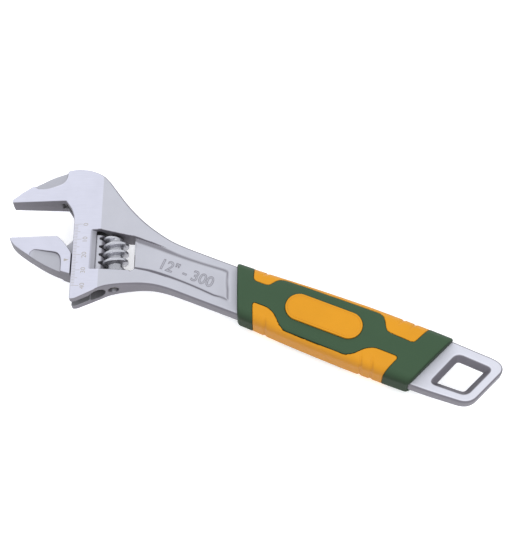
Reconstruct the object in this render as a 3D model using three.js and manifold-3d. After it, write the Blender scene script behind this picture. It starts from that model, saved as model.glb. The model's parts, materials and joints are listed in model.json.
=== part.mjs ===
// Adjustable wrench with a forged body, a sliding jaw driven by a worm, and a two-shot moulded grip.
// Handle frame: X runs from the jaws to the hanging end, Y towards the fixed jaw, Z up through the
// thickness. Head frame: "along" is X turned by the head angle and "across" is Y turned with it.
// "Below" is the distance from the fixed jaw's face along -across, which is the way the moving jaw
// opens. All sizes in millimetres.
import * as THREE from 'three';
import { mergeVertices } from 'three/addons/utils/BufferGeometryUtils.js';
import Module from 'manifold-3d';

const wasm = await Module();
wasm.setup();

// ---- general ----
const clearance = 0.3;            // gap between pieces that touch or slide
const weld = 1e-4;                // vertices of one surface this close are the same
const overshoot = 5;              // how far a cutter runs past the face it cuts
const roundSegments = 32;         // facets round a full circle
const curveSegments = 8;          // facets along one curved stretch of an outline

// ---- head ----
const headAngle = THREE.MathUtils.degToRad(22.5);
const headOffset = 16.5;          // Y where the fixed jaw's face line crosses the handle frame's Y axis
const jawReach = 38;              // jaw tips to the head's front edge
const tipHalfThickness = 4.85;
const ridgeHalfThickness = 8.25;
const ridgeAlong = 16.2;          // the thickest line of the head, behind its front edge
const headBack = 21.6;            // how far the head stands out beyond the fixed jaw's face
const headFoot = 64.6;            // the head's lower corner, below the fixed jaw's face
const footRound = 1.2;
const tipBlunt = 2.3;
const throatReach = 5.8;          // where the fixed jaw's face ends, ahead of the front edge
const throatDepth = 13;           // where the throat meets the front edge, below the face
const recessDepth = 1.3;          // sand-blasted recesses in both jaws, at recessMiddle
const recessMiddle = -15;

// ---- neck, shank and hanging tab ----
const shankHalfThickness = 4.4;
const neckControl = 43;           // along: where the neck's slope aims for the shank's face
const neckEnd = 75;               // along: where the neck has become the shank
const shankHalfWidth = 14.4;
const neckBlend = 85;             // X where both sides of the neck have become the shank's sides
const tangHalfWidth = 12;         // steel inside the grip
const tangRun = 15;               // length over which the steel narrows inside each end of the grip
const tabHalfThickness = 3.95;
const tabHalfWidth = 17.2;
const tabEndHalfWidth = 16.2;
const tabLength = 38.3;           // from the grip's end on the centre line to the tab's end
const tabRound = 12;              // length of the tab's rounded corners

// ---- panel pocket on both faces of the shank ----
const panelHalfWidth = 8.4;       // at its waist
const panelWaist = 70;            // X of its waist
const panelFlare = 1.3;           // how much wider the panel is at its far end
const panelSetback = 6.3;         // from its far end to the grip, on the centre line
const panelDepth = 1.3;
const panelWall = 1.8;            // run of its sloping walls
const panelRound = 2.5;

// ---- hanging hole, measured at the tab's face ----
const holeSetback = 21;           // from its middle to the tab's end
const holeDrop = 0.5;             // its middle sits this far below the centre line
const holeLength = 22;
const holeWidth = 21.8;
const holeWall = 3;               // run of its sloping walls
const holeRound = 4;
const holeLand = 0.6;             // half thickness of the straight land in the middle

// ---- moving jaw, web and rack barrel ----
const restOpening = 23;
const jawHeel = 25.4;             // height of the moving jaw where it meets the head
const jawGap = 0.3;               // between the moving jaw and the head's front edge
const bevelStart = 9.5;           // where the moving jaw's face ends, ahead of the front edge
const bevelLift = 0.7;            // how far short of the throat's depth the bevel ends
const webHalfThickness = 2.75;
const webFillet = 3.2;
const slotRun = 2;                // how far the slot runs into the fixed jaw, past the closed web
const slotMouth = 9;              // how far ahead of the front edge the slot marks the fixed jaw
const barrelAlong = 15;
const barrelRadius = 4.6;
const barrelLead = 1.5;           // how far the barrel starts above the moving jaw's face
const barrelLength = 35.5;

// ---- worm, pin and spring ----
const wormAlong = 24.6;
const wormTop = 23.6;             // upper end of the worm, below the fixed jaw's face
const wormLength = 21.4;
const wormCoreRadius = 5.4;
const threadPitch = 5.25;
const threadHeight = 2.6;
const threadRoot = 3.1;           // width of the thread at the core
const threadShoulder = 2.5;       // width of the thread where its crest begins to round
const threadCrest = 1.5;          // height of the rounded crest
const threadSunk = 0.5;           // how far the thread reaches into the core
const threadSteps = 18;           // steps in one turn of the thread
const threadPhase = 42;           // a crest's place on the upper side, below the fixed jaw's face
const threadMargin = 2.2;         // thread centre line to the worm's ends
const pinRadius = 2.3;
const pinBlind = 9;               // how far the pin runs into the head above the worm
const pinHeadRadius = 2.8;
const pinHeadLength = 4.5;
const pinHeadEnd = 53.6;          // outer end of the pin's head, below the fixed jaw's face
const pinSlotWidth = 0.9;
const pinSlotDepth = 1.1;
const springWire = 0.45;          // radius of the wire
const springSides = 8;
const springRadius = 3.4;
const springTurns = 4;
const springSteps = 12;           // steps in one turn of the spring
const springPocket = 6;           // depth of the worm's pocket for the spring

// ---- worm window ----
const rampRun = 3.7;              // run of the sloping wall on its left side
const rampDepth = 3.3;            // how far that wall falls below the face
const windowLeft = 14.2;
const windowRight = 36.2;
const windowTop = 19.8;           // at the ridge line
const windowFall = 3.7;           // how much further down the top edge is at its right end

// ---- grip ----
const gripStart = 111.3;          // X of the front end on the centre line
const gripLength = 118;           // on the centre line
const gripHalfHeight = 12.3;
const gripCrown = 1;
const gripCorner = 8.5;           // rounding of its long edges
const gripFrontHalfWidth = 15.9;
const gripHalfWidth = 18.6;       // at its widest
const gripWidestFrom = 78.7;      // from its front end to its widest place
const gripRearHalfWidth = 18;
const gripSteps = 12;
const coreWall = 2.4;             // thickness of the first moulding round the steel
const badgeFromFront = 52.9;      // from the grip's front end to the badge's middle
const badgeRise = 0.4;            // the badge's middle sits this far above the centre line
const badgeLength = 45.5;
const badgeWidth = 16.3;
const badgeProud = 0.5;
const panelCorner = 0.9;          // rounding of the side panels' corners

// ---- finishes ----
const bodyFinish = { color: 0xb4b3bd, roughness: 0.42, metalness: 0.9 };
const jawFinish = { color: 0xb0afba, roughness: 0.45, metalness: 0.9 };
const wormFinish = { color: 0x8f8f96, roughness: 0.25, metalness: 1 };
const pinFinish = { color: 0x5c5a58, roughness: 0.4, metalness: 1 };
const springFinish = { color: 0x77777c, roughness: 0.3, metalness: 1 };
const coreFinish = { color: 0xe6a02a, roughness: 0.6, metalness: 0 };
const sleeveFinish = { color: 0x3f5a3c, roughness: 0.8, metalness: 0 };

// ---- values that follow from the sizes above ----
const slant = Math.tan(headAngle);
const wedgeSlope = (ridgeHalfThickness - tipHalfThickness) / (ridgeAlong + jawReach);
const wormBottom = wormTop + wormLength;
const wormMiddle = wormTop + wormLength / 2;
const windowBottom = wormBottom + clearance;
const headTop = ridgeHalfThickness + overshoot;
const threadRadius = wormCoreRadius + threadHeight;
const leadAngle = Math.atan(threadPitch / (2 * Math.PI * (wormCoreRadius + threadHeight / 2)));
const gripEnd = gripStart + gripLength;
const gripWidest = gripStart + gripWidestFrom;
const handleEnd = gripEnd + tabLength;
const panelEnd = gripStart - panelSetback;
const holeMiddle = [handleEnd - holeSetback, -holeDrop];
const badgeMiddle = [gripStart + badgeFromFront, badgeRise];
const bevelHeight = throatDepth - bevelLift;
const springTop = windowTop + windowFall * springShare();
const pocketRadius = springRadius + springWire + clearance;
const tangHalfThickness = shankHalfThickness + clearance;
const coreHalfWidth = tangHalfWidth + clearance + coreWall;
const coreHalfHeight = tangHalfThickness + coreWall;

// ---- solids ----

// A closed three.js surface becomes a solid that can be cut and joined.
function solidOf(geometry) {
  const bare = geometry.clone();
  bare.deleteAttribute('normal');
  bare.deleteAttribute('uv');
  const merged = mergeVertices(bare, weld);
  const vertProperties = Float32Array.from(merged.attributes.position.array);
  const triVerts = Uint32Array.from(merged.index.array);
  return new wasm.Manifold(new wasm.Mesh({ numProp: 3, vertProperties, triVerts }));
}

// A solid becomes a three.js mesh again.
function part(name, solid, finish) {
  const surface = solid.getMesh();
  const geometry = new THREE.BufferGeometry();
  geometry.setAttribute('position', new THREE.BufferAttribute(surface.vertProperties, surface.numProp));
  geometry.setIndex(new THREE.BufferAttribute(surface.triVerts, 1));
  geometry.computeVertexNormals();
  const mesh = new THREE.Mesh(geometry, new THREE.MeshStandardMaterial(finish));
  mesh.name = name;
  return mesh;
}

function bothFaces(solid) {
  return solid.add(solid.mirror([0, 0, 1]));
}

// Upright prism over an outline.
function prism(shape, low, high, steps = 1) {
  const settings = { depth: high - low, bevelEnabled: false, curveSegments, steps };
  return new THREE.ExtrudeGeometry(shape, settings).translate(0, 0, low);
}

// Cutter for a pocket with sloping walls: its floor is drawn in by the same run on every side of its
// middle, and its walls reach the full outline just above the face, from where they stand upright.
function pocketCutter(shape, floor, face, middle, size, run) {
  const geometry = prism(shape, floor, headTop, 2);
  const position = geometry.attributes.position;
  for (let i = 0; i < position.count; i += 1) {
    const height = position.getZ(i) - floor;
    if (height < weld) {
      const x = middle[0] + (position.getX(i) - middle[0]) * (1 - 2 * run / size[0]);
      const y = middle[1] + (position.getY(i) - middle[1]) * (1 - 2 * run / size[1]);
      position.setXY(i, x, y);
    } else if (height < headTop - floor - weld) {
      position.setZ(i, face + clearance);
    }
  }
  return solidOf(geometry);
}

// Closed outline through [x, y] corners, each rounded over the same length.
function roundedShape(corners, round) {
  const shape = new THREE.Shape();
  const points = corners.map(([x, y]) => new THREE.Vector2(x, y));
  points.forEach((here, i) => {
    const before = points[(i + points.length - 1) % points.length];
    const after = points[(i + 1) % points.length];
    const enter = here.clone().add(before.clone().sub(here).setLength(round));
    const leave = here.clone().add(after.clone().sub(here).setLength(round));
    if (i === 0) {
      shape.moveTo(enter.x, enter.y);
    } else {
      shape.lineTo(enter.x, enter.y);
    }
    shape.quadraticCurveTo(here.x, here.y, leave.x, leave.y);
  });
  shape.closePath();
  return shape;
}

// Counter-clockwise [x, y] corners, moved outwards so that every side steps out by the same growth.
function grownOutline(corners, grow) {
  const outward = (from, to) => new THREE.Vector2(to[1] - from[1], from[0] - to[0]).normalize();
  return corners.map((here, i) => {
    const one = outward(corners[(i + corners.length - 1) % corners.length], here);
    const two = outward(here, corners[(i + 1) % corners.length]);
    const scale = grow / (1 + one.dot(two));
    return [here[0] + (one.x + two.x) * scale, here[1] + (one.y + two.y) * scale];
  });
}

function straightShape(corners) {
  return new THREE.Shape(corners.map(([x, y]) => new THREE.Vector2(x, y)));
}

// Outline given in the head frame as [along, below] corners.
function headShape(corners) {
  return straightShape(corners.map(([along, below]) => [along, -below]));
}

// Cylinder that runs down the head, from one distance below the fixed jaw's face to another.
function downCylinder(radius, along, top, bottom) {
  const geometry = new THREE.CylinderGeometry(radius, radius, bottom - top, roundSegments);
  return geometry.translate(along, -(top + bottom) / 2, 0);
}

// Right-handed helix that rises round the Y axis.
class Helix extends THREE.Curve {
  constructor(radius, pitch, turns) {
    super();
    Object.assign(this, { radius, pitch, turns });
  }

  getPoint(t, target = new THREE.Vector3()) {
    const turn = this.turns * t;
    const angle = 2 * Math.PI * turn;
    return target.set(this.radius * Math.sin(angle), this.pitch * turn, this.radius * Math.cos(angle));
  }
}

// ---- thickness and plan of the body ----

const headMatrix = new THREE.Matrix4().makeRotationZ(headAngle).setPosition(0, headOffset, 0);

function fromHead(along, below) {
  const point = new THREE.Vector3(along, -below, 0).applyMatrix4(headMatrix);
  return new THREE.Vector2(point.x, point.y);
}

function faceHeight(along) {
  return ridgeHalfThickness - wedgeSlope * (ridgeAlong - along);
}

// Thickness of the body, drawn in the along-Z plane and swept across it, in the head frame:
// a wedge from the jaw tips to the ridge, a falling curve down the neck, then the thin handle.
function thicknessSolid() {
  const shape = new THREE.Shape();
  const front = -jawReach - overshoot;
  shape.moveTo(front, faceHeight(front));
  shape.lineTo(ridgeAlong, ridgeHalfThickness);
  shape.quadraticCurveTo(neckControl, shankHalfThickness, neckEnd, shankHalfThickness);
  shape.lineTo(gripStart, shankHalfThickness);
  shape.lineTo(gripEnd - tangRun * 2, tabHalfThickness);
  shape.lineTo(handleEnd + overshoot, tabHalfThickness);
  const upper = shape.getPoints(curveSegments);
  const lower = upper.map((point) => new THREE.Vector2(point.x, -point.y)).reverse();
  return solidOf(prism(new THREE.Shape([...upper, ...lower]), -handleEnd, handleEnd).rotateX(Math.PI / 2));
}

// Back of the head from the fixed jaw to the neck, as [along, distance short of headBack].
const backCurve = [
  [-20.5, 7.9], [-12.4, 3.6], [-5.3, 0.7], [1.5, 0], [8, 1], [14, 3.6], [18, 6.5], [21.9, 11.1],
  [27.8, 19.3], [34.7, 27.8], [41, 34],
];
// Foot of the head from its lower corner to the neck, as [along, distance short of headFoot].
const footCurve = [[15.5, 6.1], [21, 7.9], [28, 9.1], [36, 9.6]];
// Sides of the neck near the shank, as [X, distance beyond the shank's side].
const neckTop = [[53, 2.7], [62, 1], [73, 0.15]];
const neckBottom = [[75, 0.3], [66.5, 1.4], [59.5, 3.7]];

// Plan of the whole forging in the handle frame.
function bodyShape() {
  const shape = new THREE.Shape();
  const line = (along, below) => {
    const point = fromHead(along, below);
    shape.lineTo(point.x, point.y);
  };
  const start = fromHead(-throatReach, 0);
  shape.moveTo(start.x, start.y);
  line(-jawReach, 0);
  line(-jawReach, -tipBlunt);
  line(-26.6, 10.8 - headBack);
  shape.splineThru([
    ...backCurve.map(([along, short]) => fromHead(along, short - headBack)),
    ...neckTop.map(([x, beyond]) => new THREE.Vector2(x, shankHalfWidth + beyond)),
    new THREE.Vector2(neckBlend, shankHalfWidth),
  ]);
  addHandle(shape);
  shape.splineThru([
    ...neckBottom.map(([x, beyond]) => new THREE.Vector2(x, -shankHalfWidth - beyond)),
    ...footCurve.toReversed().map(([along, short]) => fromHead(along, headFoot - short)),
  ]);
  line(3.4, headFoot - 0.3);
  const corner = fromHead(0, headFoot);
  const front = fromHead(0, headFoot - footRound);
  shape.quadraticCurveTo(corner.x, corner.y, front.x, front.y);
  line(0, throatDepth);
  line(-2.3, 5.2);
  shape.closePath();
  return shape;
}

// Upper side of the steel inside the grip, as [X, half width], with the given growth on every side.
function tangSide(grow, side) {
  const front = gripStart - side * slant * shankHalfWidth;
  const rear = gripEnd + side * slant * tabHalfWidth;
  return [
    [front, shankHalfWidth + grow],
    [front + tangRun, tangHalfWidth + grow],
    [rear - tangRun, tangHalfWidth + grow],
    [rear, tabHalfWidth + grow],
  ].map(([x, width]) => [x, side * width]);
}

// Shank, tang and hanging tab, from the neck's upper side round to its lower side.
function addHandle(shape) {
  tangSide(0, 1).forEach(([x, y]) => shape.lineTo(x, y));
  shape.lineTo(handleEnd - tabRound, tabEndHalfWidth);
  shape.quadraticCurveTo(handleEnd, tabEndHalfWidth, handleEnd, tabEndHalfWidth - tabRound / 2);
  const cornerX = handleEnd - slant * (2 * tabEndHalfWidth - tabRound);
  shape.lineTo(cornerX, tabRound / 2 - tabEndHalfWidth);
  const lowX = cornerX - slant * tabRound / 2;
  shape.quadraticCurveTo(lowX, -tabEndHalfWidth, lowX - tabRound / 2, -tabEndHalfWidth);
  tangSide(0, -1).toReversed().forEach(([x, y]) => shape.lineTo(x, y));
  shape.lineTo(neckBlend, -shankHalfWidth);
}

// ---- cuts in the body ----

// Slot for the web, from the front edge to the barrel's bore, and its mark in the fixed jaw.
function slotSolid() {
  const end = headFoot + overshoot;
  const outline = headShape([
    [-slotMouth, end],
    [-slotMouth, 0],
    [slotRun - slotMouth, -slotRun],
    [barrelAlong, -slotRun],
    [barrelAlong, end],
  ]);
  const halfWidth = webHalfThickness + clearance;
  return solidOf(prism(outline, -halfWidth, halfWidth));
}

function boresSolid() {
  const end = headFoot + overshoot;
  const barrel = solidOf(downCylinder(barrelRadius + clearance, barrelAlong, -slotRun, end));
  const pinTop = wormTop - pinBlind - clearance;
  const pin = solidOf(downCylinder(pinRadius + clearance, wormAlong, pinTop, end));
  const headStart = pinHeadEnd - pinHeadLength - clearance;
  const pinHead = solidOf(downCylinder(pinHeadRadius + clearance, wormAlong, headStart, end));
  return barrel.add(pin).add(pinHead);
}

// Window through the head, with a sloping wall that leads down to it on both faces.
function windowSolid() {
  const outline = headShape([
    [windowLeft, windowBottom],
    [windowLeft, windowTop],
    [ridgeAlong, windowTop],
    [windowRight, windowTop + windowFall],
    [windowRight, windowBottom],
  ]);
  return solidOf(prism(outline, -headTop, headTop)).add(bothFaces(rampSolid()));
}

// Cutter of the sloping wall, drawn in the along-Z plane and swept from the window's top to its bottom.
function rampSolid() {
  const start = windowLeft - rampRun;
  const low = faceHeight(start) - rampDepth;
  const slope = rampDepth / rampRun;
  const outline = straightShape([
    [windowLeft + clearance, low - slope * clearance],
    [windowLeft + clearance, headTop],
    [start - (headTop - faceHeight(start)) / slope, headTop],
  ]);
  return solidOf(prism(outline, windowTop, windowBottom).rotateX(Math.PI / 2));
}

// How far down the window's sloping top edge the worm's axis meets it, as a share of its fall.
function springShare() {
  return (wormAlong - ridgeAlong) / (windowRight - ridgeAlong);
}

// Recess in the fixed jaw's face, open to the jaw's back.
function fixedRecessSolid() {
  const outline = headShape([
    [-27, -14], [-22.8, -8.6], [-15, -9.4], [-10, -11.2], [-7.3, -13.2], [-6, -15.8], [-5.6, -26],
    [-27, -26],
  ]);
  return bothFaces(solidOf(prism(outline, faceHeight(recessMiddle) - recessDepth, headTop)));
}

// Sunk panel on both faces of the shank, open into the worm window.
function panelSolid() {
  const inside = windowRight - 2 * panelWall;
  const topLeft = fromHead(inside, windowTop + windowFall);
  const bottomLeft = fromHead(inside, windowBottom);
  const wide = panelHalfWidth + panelFlare;
  const shape = new THREE.Shape();
  shape.moveTo(bottomLeft.x, bottomLeft.y);
  shape.splineThru([
    new THREE.Vector2(panelWaist - 12, -panelHalfWidth - 0.4),
    new THREE.Vector2(panelWaist, -panelHalfWidth),
    new THREE.Vector2(panelEnd + slant * wide - panelRound, -wide),
  ]);
  shape.quadraticCurveTo(
    panelEnd + slant * wide, -wide, panelEnd + slant * (wide - panelRound), panelRound - wide);
  shape.lineTo(panelEnd - slant * (wide - panelRound), wide - panelRound);
  shape.quadraticCurveTo(panelEnd - slant * wide, wide, panelEnd - slant * wide - panelRound, wide);
  shape.splineThru([
    new THREE.Vector2(panelWaist, panelHalfWidth),
    new THREE.Vector2(topLeft.x, topLeft.y),
  ]);
  shape.closePath();
  const floor = shankHalfThickness - panelDepth;
  const middle = [(topLeft.x + panelEnd) / 2, 0];
  const size = [panelEnd - topLeft.x, 2 * wide];
  return bothFaces(pocketCutter(shape, floor, shankHalfThickness, middle, size, panelWall));
}

// Hanging hole: a four-sided opening, slanted as the tab's end is, with sloping walls to both faces.
function hangingHoleSolid() {
  const [x, y] = holeMiddle;
  const corner = (sideX, sideY, run) => {
    const up = sideY * (holeWidth / 2 - run);
    return [x + sideX * (holeLength / 2 - run) + slant * up, y + up];
  };
  const outline = (run) => {
    const corners = [corner(-1, -1, run), corner(1, -1, run), corner(1, 1, run), corner(-1, 1, run)];
    return roundedShape(corners, holeRound - run / 3);
  };
  const size = [holeLength, holeWidth];
  const flare = pocketCutter(outline(0), holeLand, tabHalfThickness, holeMiddle, size, holeWall);
  const through = solidOf(prism(outline(holeWall - clearance), -headTop, headTop));
  return bothFaces(flare).add(through);
}

function wrenchBody() {
  const plan = solidOf(prism(bodyShape(), -headTop, headTop));
  const cuts = [slotSolid(), boresSolid(), windowSolid(), fixedRecessSolid()];
  const inHead = cuts.reduce((all, cut) => all.add(cut));
  const headCuts = inHead.transform(headMatrix.elements);
  const blank = plan.intersect(thicknessSolid().transform(headMatrix.elements));
  const solid = blank.subtract(headCuts).subtract(panelSolid()).subtract(hangingHoleSolid());
  return part('wrench_body', solid, bodyFinish);
}

// ---- thread of the worm and the rack ----

// Section of the thread, X along the worm and Y away from its axis, with a growth on every side.
function threadSection(grow) {
  const root = threadRoot / 2 + grow;
  const shoulder = threadShoulder / 2 + grow;
  const crest = threadRadius + grow;
  const shoulderHeight = threadRadius - threadCrest;
  const shape = new THREE.Shape();
  shape.moveTo(root, wormCoreRadius - threadSunk);
  shape.lineTo(shoulder, shoulderHeight);
  shape.bezierCurveTo(shoulder, crest, -shoulder, crest, -shoulder, shoulderHeight);
  shape.lineTo(-root, wormCoreRadius - threadSunk);
  shape.closePath();
  return shape;
}

// The thread's section carried round the worm's axis: right-handed, turns counted from the upper side.
function threadSolid(startTurn, endTurn) {
  const steps = Math.ceil((endTurn - startTurn) * threadSteps);
  const geometry = prism(threadSection(0), startTurn, endTurn, steps);
  const position = geometry.attributes.position;
  for (let i = 0; i < position.count; i += 1) {
    const turn = position.getZ(i);
    const radius = position.getY(i);
    const angle = 2 * Math.PI * turn;
    const down = position.getX(i) + threadPitch * turn;
    position.setXYZ(i, radius * Math.sin(angle), down, radius * Math.cos(angle));
  }
  return solidOf(geometry);
}

// ---- moving jaw, in the head frame with its face at zero ----

// Lower edge of the moving jaw from its heel to its tip, as [along, below its face].
const jawCurve = [[-8.8, 22.3], [-16.9, 18.2], [-25, 12.9], [-33, 7], [-36.6, 3.3]];

function jawSolid() {
  const shape = new THREE.Shape();
  shape.moveTo(-jawReach, 0);
  shape.lineTo(-jawReach, -0.5);
  shape.splineThru([
    ...jawCurve.toReversed().map(([along, below]) => new THREE.Vector2(along, -below)),
    new THREE.Vector2(-jawGap, -jawHeel),
  ]);
  shape.lineTo(-jawGap, -bevelHeight);
  shape.quadraticCurveTo(-4, -4.6, -bevelStart, 0);
  shape.closePath();
  return solidOf(prism(shape, -headTop, headTop)).intersect(thicknessSolid());
}

function movingRecessSolid() {
  const outline = headShape([
    [-25.8, 24], [-25.3, 11.2], [-24, 9.4], [-22, 8.5], [-10, 10.7], [-7.4, 12.6], [-6.2, 16.5], [-6, 32],
  ]);
  return bothFaces(solidOf(prism(outline, faceHeight(recessMiddle) - recessDepth, headTop)));
}

// Thin web that joins the jaw to the barrel through the slot.
function webSolid() {
  const bottom = barrelLength - barrelLead;
  const outline = headShape([
    [-webFillet, webFillet],
    [-webFillet / 2, webFillet / 2],
    [-jawGap, -clearance],
    [barrelAlong, -clearance],
    [barrelAlong, bottom],
    [-jawGap, jawHeel - webFillet / 2],
    [-webFillet, jawHeel - webFillet],
  ]);
  return solidOf(prism(outline, -webHalfThickness, webHalfThickness));
}

// Slanted grooves that the worm's thread runs in, in mesh with it at the rest opening.
function rackGrooves() {
  const meshed = threadPhase + threadPitch / 4 - restOpening;
  const first = meshed - threadPitch * Math.floor((meshed + barrelLead + threadRoot) / threadPitch);
  const last = barrelLength - barrelLead + threadRoot;
  const grooves = [];
  for (let below = first; below <= last; below += threadPitch) {
    const groove = prism(threadSection(clearance), -headTop, headTop);
    groove.rotateZ(Math.PI / 2).rotateX(-leadAngle).translate(wormAlong, -below, 0);
    grooves.push(solidOf(groove));
  }
  return grooves;
}

function movableJaw() {
  const end = barrelLength - barrelLead;
  const flat = wormAlong - wormCoreRadius - clearance;
  const clear = headShape([
    [flat, -overshoot], [headFoot, -overshoot], [headFoot, headFoot], [flat, headFoot],
  ]);
  const barrel = solidOf(downCylinder(barrelRadius, barrelAlong, -barrelLead, end));
  const rack = rackGrooves().reduce(
    (solid, groove) => solid.subtract(groove),
    barrel.subtract(solidOf(prism(clear, -headTop, headTop))),
  );
  const solid = jawSolid().subtract(movingRecessSolid()).add(webSolid()).add(rack);
  const mesh = part('movable_jaw', solid, jawFinish);
  mesh.position.y = -restOpening;
  return mesh;
}

// ---- worm, pin and spring, in the head frame ----

function worm() {
  const half = wormLength / 2;
  const core = solidOf(downCylinder(wormCoreRadius, 0, -half, half));
  const crest = (wormMiddle - threadPhase) / threadPitch;
  const reach = (half - threadMargin) / threadPitch;
  const thread = threadSolid(-reach - crest, reach - crest);
  const bore = solidOf(downCylinder(pinRadius + clearance, 0, -half - overshoot, half + overshoot));
  const pocket = solidOf(downCylinder(pocketRadius, 0, -half - overshoot, springPocket - half));
  const threaded = core.add(thread.translate([0, crest * threadPitch, 0]));
  const mesh = part('worm', threaded.subtract(bore).subtract(pocket), wormFinish);
  mesh.position.set(wormAlong, -wormMiddle, 0);
  return mesh;
}

function wormPin() {
  const headStart = pinHeadEnd - pinHeadLength;
  const shank = solidOf(downCylinder(pinRadius, 0, wormTop - pinBlind, headStart + weld));
  const head = solidOf(downCylinder(pinHeadRadius, 0, headStart, pinHeadEnd));
  const slot = new THREE.BoxGeometry(4 * pinHeadRadius, 2 * pinSlotDepth, pinSlotWidth);
  const solid = shank.add(head).subtract(solidOf(slot.translate(0, -pinHeadEnd, 0)));
  const mesh = part('worm_pin', solid, pinFinish);
  mesh.position.x = wormAlong;
  return mesh;
}

function wormSpring() {
  const top = springTop + clearance + springWire;
  const bottom = wormTop + springPocket - clearance - springWire;
  const pitch = (bottom - top) / springTurns;
  const section = new THREE.Shape();
  section.absarc(0, 0, springWire, 0, 2 * Math.PI);
  const wire = new THREE.ExtrudeGeometry(section, {
    steps: springTurns * springSteps,
    extrudePath: new Helix(springRadius, pitch, springTurns),
    bevelEnabled: false,
    curveSegments: springSides / 2,
  });
  const mesh = part('worm_spring', solidOf(wire), springFinish);
  mesh.position.set(wormAlong, -bottom, 0);
  return mesh;
}

// ---- grip ----

const crosswise = new THREE.Matrix4().makeBasis(
  new THREE.Vector3(0, 1, 0), new THREE.Vector3(0, 0, 1), new THREE.Vector3(1, 0, 0));

// Half width of the grip at a place along it: two parabolas that meet at the widest place.
function gripWidthAt(x) {
  const front = x < gripWidest;
  const edge = front ? gripFrontHalfWidth : gripRearHalfWidth;
  const run = front ? gripWidest - gripStart : gripEnd - gripWidest;
  return gripHalfWidth - (gripHalfWidth - edge) * ((x - gripWidest) / run) ** 2;
}

// Plan of the grip: a trapezoid, slanted one way in front and the other behind.
function gripPlan() {
  const side = gripHalfWidth + overshoot;
  const corners = [
    [gripStart + slant * side, -side],
    [gripEnd - slant * side, -side],
    [gripEnd + slant * side, side],
    [gripStart - slant * side, side],
  ];
  return solidOf(prism(straightShape(corners), -headTop - overshoot, headTop + overshoot));
}

// Outer form of the whole grip: a crowned, rounded bar whose width follows gripWidthAt.
function gripForm() {
  const w = gripHalfWidth;
  const h = gripHalfHeight;
  const r = gripCorner;
  const shape = new THREE.Shape();
  shape.moveTo(w, r - h);
  shape.lineTo(w, h - r);
  shape.bezierCurveTo(w, h - r / 2, w - r / 2, h - gripCrown, w - r, h - gripCrown);
  shape.quadraticCurveTo(0, h + gripCrown, r - w, h - gripCrown);
  shape.bezierCurveTo(r / 2 - w, h - gripCrown, -w, h - r / 2, -w, h - r);
  shape.lineTo(-w, r - h);
  shape.bezierCurveTo(-w, r / 2 - h, r / 2 - w, gripCrown - h, r - w, gripCrown - h);
  shape.quadraticCurveTo(0, -h - gripCrown, w - r, gripCrown - h);
  shape.bezierCurveTo(w - r / 2, gripCrown - h, w, r / 2 - h, w, r - h);
  const from = gripStart - slant * w;
  const to = gripEnd + slant * w;
  const geometry = prism(shape, from, to, gripSteps).applyMatrix4(crosswise);
  const position = geometry.attributes.position;
  for (let i = 0; i < position.count; i += 1) {
    position.setY(i, position.getY(i) * gripWidthAt(position.getX(i)) / w);
  }
  return solidOf(geometry).intersect(gripPlan());
}

// Steel inside the grip with its clearance, open at both ends.
function tangSolid() {
  const upper = tangSide(clearance, 1);
  const lower = tangSide(clearance, -1).toReversed();
  const beyond = overshoot + slant * gripHalfWidth;
  const outline = straightShape([
    [upper[0][0] - beyond, upper[0][1]],
    ...upper,
    [upper[3][0] + beyond, upper[3][1]],
    [lower[0][0] + beyond, lower[0][1]],
    ...lower,
    [lower[3][0] - beyond, lower[3][1]],
  ]);
  return solidOf(prism(outline, -tangHalfThickness, tangHalfThickness));
}

// Plan outlines of the coloured side panels as [distance from the grip's nearer end, Y].
const upperFront = [[3.7, 24], [7.5, 6.4], [16.9, 6.4], [20.2, 12], [23.7, 14]];
const upperRear = [[36.3, 14.8], [33.3, 13], [29.3, 5.3], [13.8, 4.9], [6.8, 24]];
const lowerRear = [[23.8, -26], [17.8, -6.6], [32.3, -6.4], [37.3, -9], [41.8, -13.8], [46.3, -15.9]];
const lowerFront = [[34.7, -15.1], [31.2, -13.2], [26.2, -8.3], [21.2, -6.3], [12.7, -6.3], [19.7, -26]];
const fromFront = (points) => points.map(([x, y]) => [gripStart + x, y]);
const fromRear = (points) => points.map(([x, y]) => [gripEnd - x, y]);
const upperPanel = [...fromFront(upperFront), ...fromRear(upperRear)];
const lowerPanel = [...fromRear(lowerRear), ...fromFront(lowerFront)];

// Side panels and badges as upright prisms, with a growth on every side.
function colouredPrisms(grow, badgeTop) {
  const reach = headTop + overshoot;
  const panels = [upperPanel, lowerPanel].map((outline) => {
    const shape = roundedShape(grownOutline(outline, grow), panelCorner);
    return solidOf(prism(shape, -reach, reach));
  });
  const [x, y] = badgeMiddle;
  const radius = badgeWidth / 2 + grow;
  const straight = (badgeLength - badgeWidth) / 2;
  const shape = new THREE.Shape();
  shape.absarc(x + straight, y, radius, -Math.PI / 2, Math.PI / 2);
  shape.absarc(x - straight, y, radius, Math.PI / 2, 3 * Math.PI / 2);
  shape.closePath();
  return { panels: panels[0].add(panels[1]), badges: solidOf(prism(shape, -badgeTop, badgeTop)) };
}

// Tube of the first moulding round the steel, between the two slanted ends of the narrow tang.
function coreTube(grow) {
  const width = coreHalfWidth + grow;
  const height = coreHalfHeight + grow;
  const from = gripStart + tangRun - grow;
  const to = gripEnd - tangRun + grow;
  const outline = straightShape([
    [from + slant * width, -width],
    [to - slant * width, -width],
    [to + slant * width, width],
    [from - slant * width, width],
  ]);
  return solidOf(prism(outline, -height, height));
}

function gripCore() {
  const { panels, badges } = colouredPrisms(0, gripHalfHeight + badgeProud);
  const blocks = panels.intersect(gripForm());
  return part('grip_core', coreTube(0).add(blocks).add(badges).subtract(tangSolid()), coreFinish);
}

function gripSleeve() {
  const { panels, badges } = colouredPrisms(clearance, headTop + overshoot);
  const inside = coreTube(clearance).add(panels).add(badges).add(tangSolid());
  return part('grip_sleeve', gripForm().subtract(inside), sleeveFinish);
}

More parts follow.
